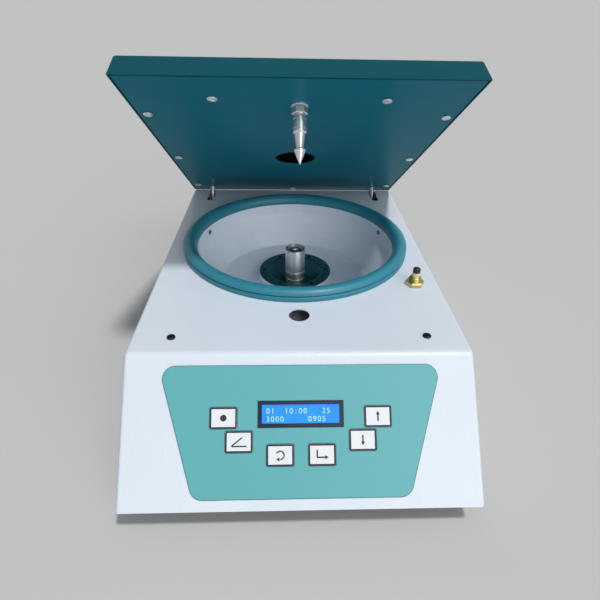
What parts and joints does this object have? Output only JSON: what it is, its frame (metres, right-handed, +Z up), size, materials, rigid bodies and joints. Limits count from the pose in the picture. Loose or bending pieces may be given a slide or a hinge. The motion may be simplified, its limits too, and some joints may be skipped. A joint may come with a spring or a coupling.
{
  "type": "serological centrifuge",
  "caption": "Low bench centrifuge: white housing with a sloped key panel and display, a drum with a rubber rim and bare spindle, and a hinged teal lid that stands open.",
  "frame": {"origin": "on the bench, below the middle of the outer box with the lid open", "axes": "+X to the user's right, +Y to the back, +Z up along the spindle"},
  "size_m": [0.304, 0.4956, 0.3318],
  "materials": {
    "white_coat": "white powder coat with a fine orange peel",
    "teal_coat": "deep teal powder coat",
    "teal_gloss": "glossy teal paint",
    "dark_teal": "dark teal paint, satin",
    "teal_rubber": "moulded teal rubber, satin",
    "black_rubber": "black rubber",
    "plain_steel": "zinc-plated steel",
    "bright_steel": "turned bright steel",
    "black_steel": "blackened steel",
    "cast_aluminium": "machined aluminium",
    "brass": "turned brass",
    "overlay_foil": "light teal printed foil, satin",
    "key_white": "white key caps",
    "black_plastic": "black plastic",
    "cream_plastic": "cream plastic",
    "display_blue": "lit blue display",
    "board_green": "green circuit board",
    "clear_plastic": "clear window"
  },
  "bodies": {
    "housing": {"housing_cover": "white_coat", "chamber_bowl": "white_coat", "rear_panel": "white_coat", "base_tray": "plain_steel", "front_bridge": "plain_steel", "hinge_brackets": "plain_steel", "hinge_shaft": "bright_steel", "hinge_springs": "black_steel", "rubber_feet": "black_rubber", "foot_screws": "plain_steel", "cover_screws": "black_steel", "rear_panel_screws": "black_steel", "bowl_rivets": "black_steel", "rim_gasket": "teal_rubber", "motor_boot": "dark_teal", "boot_screws": "plain_steel", "motor_can": "black_steel", "motor_top_cap": "cast_aluminium", "motor_base_cap": "cast_aluminium", "motor_stator": "plain_steel", "motor_bearings": "bright_steel", "motor_mounts": "black_rubber", "latch_bracket": "plain_steel", "latch_solenoid": "black_steel", "switch_bushing": "brass", "switch_nut": "brass", "lid_switch_body": "black_plastic", "control_overlay": "overlay_foil", "display_module": "black_plastic", "display_glass": "display_blue", "front_board": "board_green", "control_board": "board_green", "board_spacers": "brass", "power_inlet": "black_plastic", "power_switch": "black_plastic"},
    "lid": {"lid_shell": "teal_coat", "lid_inner_plate": "teal_gloss", "lid_screws": "bright_steel", "latch_pin": "bright_steel", "latch_pin_nut": "bright_steel", "sight_window": "clear_plastic", "window_grommet": "black_rubber", "lid_arms": "bright_steel", "arm_nuts": "plain_steel"},
    "rotor": {"rotor_spindle": "bright_steel", "spindle_screw": "black_steel", "motor_shaft": "bright_steel", "motor_rotor": "cast_aluminium"},
    "lid_plunger": {"switch_plunger": "cream_plastic", "switch_cap": "black_plastic"},
    "latch": {"latch_slide": "plain_steel", "solenoid_plunger": "bright_steel"},
    "rocker": {"power_rocker": "black_plastic"},
    "brake_key_body": {"brake_key": "key_white"},
    "lid_key_body": {"lid_key": "key_white"},
    "escape_key_body": {"escape_key": "key_white"},
    "enter_key_body": {"enter_key": "key_white"},
    "down_key_body": {"down_key": "key_white"},
    "up_key_body": {"up_key": "key_white"}
  },
  "joints": [
    {"name": "lid_hinge", "type": "hinge", "parent": "housing", "child": "lid", "pos_m": [0, 0.19574, 0.0801], "axis": [1, 0, 0], "range_deg": [0, 33.9], "stiffness_Nm_per_rad": 3, "springref_deg": -63.03},
    {"name": "rotor_spin", "type": "hinge", "parent": "housing", "child": "rotor", "pos_m": [0, 0.04974, 0.08], "axis": [0, 0, 1], "continuous": true},
    {"name": "lid_plunger_press", "type": "slide", "parent": "housing", "child": "lid_plunger", "axis": [0, 0, -1], "range_m": [0, 0.007], "stiffness_N_per_m": 120, "springref_m": -0.01},
    {"name": "latch_travel", "type": "slide", "parent": "housing", "child": "latch", "axis": [1, 0, 0], "range_m": [0, 0.008]},
    {"name": "power_rocker_tilt", "type": "hinge", "parent": "housing", "child": "rocker", "pos_m": [-0.042, 0.22844, 0.06], "axis": [-1, 0, 0], "range_deg": [0, 20]},
    {"name": "brake_key_press", "type": "slide", "parent": "housing", "child": "brake_key_body", "axis": [0, 0.7208, -0.6932], "range_m": [0, 0.0005], "stiffness_N_per_m": 1200, "springref_m": -0.0004},
    {"name": "lid_key_press", "type": "slide", "parent": "housing", "child": "lid_key_body", "axis": [0, 0.7208, -0.6932], "range_m": [0, 0.0005], "stiffness_N_per_m": 1200, "springref_m": -0.0004},
    {"name": "escape_key_press", "type": "slide", "parent": "housing", "child": "escape_key_body", "axis": [0, 0.7208, -0.6932], "range_m": [0, 0.0005], "stiffness_N_per_m": 1200, "springref_m": -0.0004},
    {"name": "enter_key_press", "type": "slide", "parent": "housing", "child": "enter_key_body", "axis": [0, 0.7208, -0.6932], "range_m": [0, 0.0005], "stiffness_N_per_m": 1200, "springref_m": -0.0004},
    {"name": "down_key_press", "type": "slide", "parent": "housing", "child": "down_key_body", "axis": [0, 0.7208, -0.6932], "range_m": [0, 0.0005], "stiffness_N_per_m": 1200, "springref_m": -0.0004},
    {"name": "up_key_press", "type": "slide", "parent": "housing", "child": "up_key_body", "axis": [0, 0.7208, -0.6932], "range_m": [0, 0.0005], "stiffness_N_per_m": 1200, "springref_m": -0.0004}
  ],
  "couplings": [
    {"joint": "lid_plunger_press", "follows": "lid_hinge", "m_per_rad": 0.0118}
  ]
}
